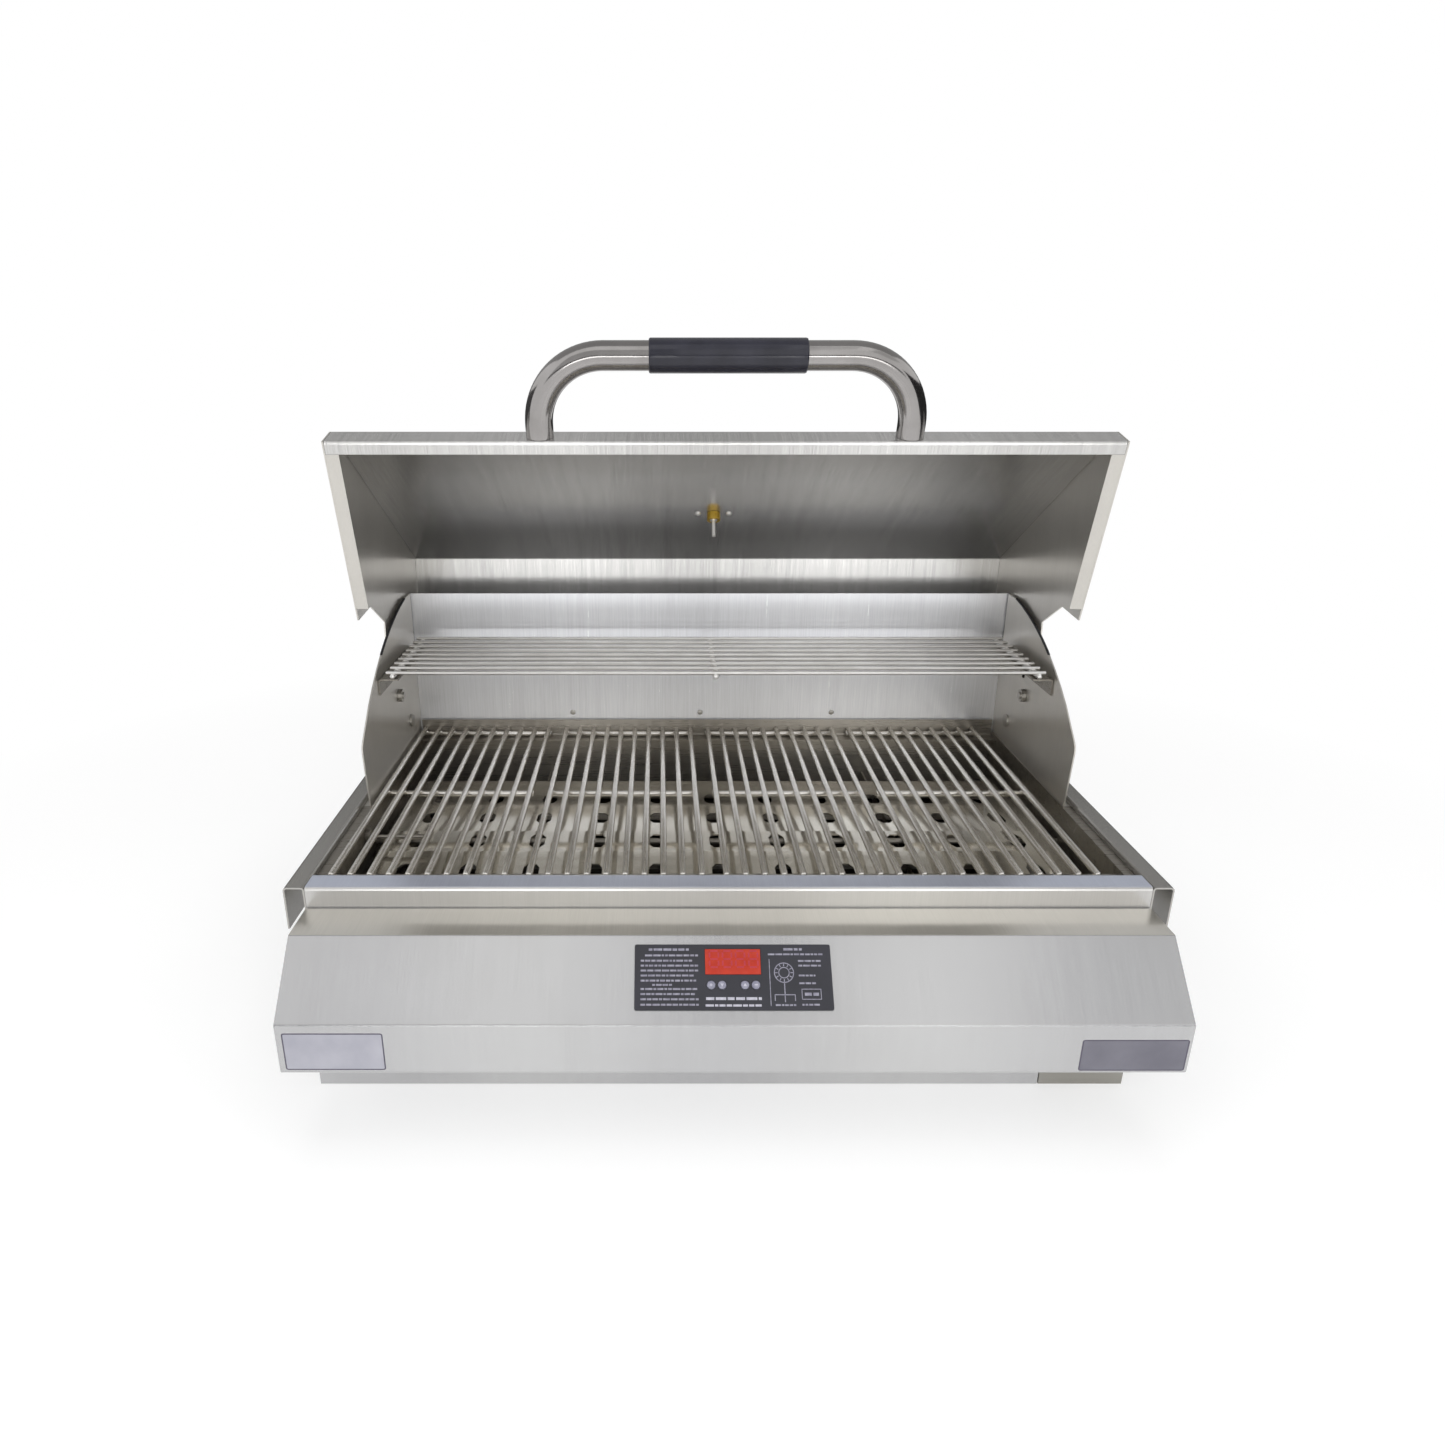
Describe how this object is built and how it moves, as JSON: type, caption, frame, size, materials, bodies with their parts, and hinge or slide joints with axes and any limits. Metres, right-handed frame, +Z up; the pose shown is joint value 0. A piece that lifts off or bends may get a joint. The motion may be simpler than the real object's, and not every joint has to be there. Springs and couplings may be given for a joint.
{
  "type": "built-in electric grill",
  "caption": "Built-in electric grill: a steel box with a hinged lid, lift-out rod grates over a heat shield and element, a warming rack, a drip tray and a digital control panel.",
  "frame": {"origin": "centre of the underside of the outer box, midway across its width and its depth", "axes": "+X to the right of someone who stands in front of the control panel, +Y from the front to the back, +Z up; the lid rests open"},
  "size_m": [0.776, 0.5685, 0.6395],
  "materials": {
    "brushed_stainless": "satin brushed",
    "polished_stainless": "polished",
    "grey_box_steel": "satin",
    "rod_steel": "bright drawn",
    "panel_label": "satin",
    "display_red": "gloss",
    "button_grey": "matte",
    "circuit_green": "satin",
    "element_sheath": "dark oxide",
    "terminal_ceramic": "matte",
    "brass_fitting": "satin",
    "black_grip": "matte",
    "dial_white": "matte",
    "dial_glass": "clear",
    "black_plastic": "matte"
  },
  "bodies": {
    "grill_body": {"back_wall": "brushed_stainless", "body_shell": "grey_box_steel", "cable_gland": "black_plastic", "circuit_board": "circuit_green", "control_housing": "brushed_stainless", "control_panel_plate": "panel_label", "display_window": "display_red", "element_support_left": "brushed_stainless", "element_support_right": "brushed_stainless", "element_terminal_block": "terminal_ceramic", "front_grate_ledge": "brushed_stainless", "front_rail": "brushed_stainless", "heat_shield": "polished_stainless", "heating_element": "element_sheath", "hinge_nut_left": "rod_steel", "hinge_nut_right": "rod_steel", "hinge_pin_left": "rod_steel", "hinge_pin_right": "rod_steel", "junction_box": "grey_box_steel", "left_cheek": "brushed_stainless", "left_housing_end": "brushed_stainless", "left_side_flange": "brushed_stainless", "left_tray_runner": "grey_box_steel", "lid_stop_left": "rod_steel", "lid_stop_right": "rod_steel", "liner": "brushed_stainless", "rack_bracket_left": "brushed_stainless", "rack_bracket_right": "brushed_stainless", "rear_grate_ledge": "brushed_stainless", "right_cheek": "brushed_stainless", "right_housing_end": "brushed_stainless", "right_side_flange": "brushed_stainless", "right_tray_runner": "grey_box_steel", "shield_rod_front": "rod_steel", "shield_rod_middle": "rod_steel", "shield_rod_rear": "rod_steel", "temperature_sensor": "brass_fitting"},
    "lid": {"lid_shell": "brushed_stainless", "lid_end_left": "brushed_stainless", "lid_end_right": "brushed_stainless", "handle_tube": "polished_stainless", "handle_grip": "black_grip", "handle_bolt_left": "rod_steel", "handle_bolt_right": "rod_steel", "thermometer_bezel": "polished_stainless", "thermometer_dial": "dial_white", "thermometer_glass": "dial_glass", "thermometer_stem": "brass_fitting", "thermometer_nut": "brass_fitting"},
    "thermometer_needle": {"thermometer_needle": "black_plastic"},
    "warming_rack": {"warming_rack": "rod_steel"},
    "drip_tray": {"drip_tray": "brushed_stainless"},
    "button_1": {"button_1": "button_grey"},
    "grate_1": {"grate_1": "rod_steel"},
    "button_2": {"button_2": "button_grey"},
    "grate_2": {"grate_2": "rod_steel"},
    "button_3": {"button_3": "button_grey"},
    "grate_3": {"grate_3": "rod_steel"},
    "button_4": {"button_4": "button_grey"},
    "grate_4": {"grate_4": "rod_steel"}
  },
  "joints": [
    {"name": "lid_hinge", "type": "hinge", "parent": "grill_body", "child": "lid", "pos_m": [0, 0.1132, 0.259], "axis": [-1, 0, 0], "range_deg": [-74.7, 0]},
    {"name": "button_1_press", "type": "slide", "parent": "grill_body", "child": "button_1", "axis": [0, 0.7002, -0.714], "range_m": [0, 0.0008], "stiffness_N_per_m": 500},
    {"name": "button_2_press", "type": "slide", "parent": "grill_body", "child": "button_2", "axis": [0, 0.7002, -0.714], "range_m": [0, 0.0008], "stiffness_N_per_m": 500},
    {"name": "button_3_press", "type": "slide", "parent": "grill_body", "child": "button_3", "axis": [0, 0.7002, -0.714], "range_m": [0, 0.0008], "stiffness_N_per_m": 500},
    {"name": "button_4_press", "type": "slide", "parent": "grill_body", "child": "button_4", "axis": [0, 0.7002, -0.714], "range_m": [0, 0.0008], "stiffness_N_per_m": 500},
    {"name": "grate_1_lift", "type": "slide", "parent": "grill_body", "child": "grate_1", "axis": [0, 0, 1], "range_m": [0, 0.055]},
    {"name": "grate_2_lift", "type": "slide", "parent": "grill_body", "child": "grate_2", "axis": [0, 0, 1], "range_m": [0, 0.055]},
    {"name": "grate_3_lift", "type": "slide", "parent": "grill_body", "child": "grate_3", "axis": [0, 0, 1], "range_m": [0, 0.055]},
    {"name": "grate_4_lift", "type": "slide", "parent": "grill_body", "child": "grate_4", "axis": [0, 0, 1], "range_m": [0, 0.055]},
    {"name": "warming_rack_lift", "type": "slide", "parent": "grill_body", "child": "warming_rack", "axis": [0, 0, 1], "range_m": [0, 0.05]},
    {"name": "drip_tray_slide", "type": "slide", "parent": "grill_body", "child": "drip_tray", "axis": [0, -1, 0], "range_m": [0, 0.3]},
    {"name": "thermometer_needle_turn", "type": "hinge", "parent": "lid", "child": "thermometer_needle", "pos_m": [0, 0.14447, 0.46369], "axis": [0, -0.5237, -0.8519], "range_deg": [0, 240], "stiffness_Nm_per_rad": 0.0002}
  ]
}
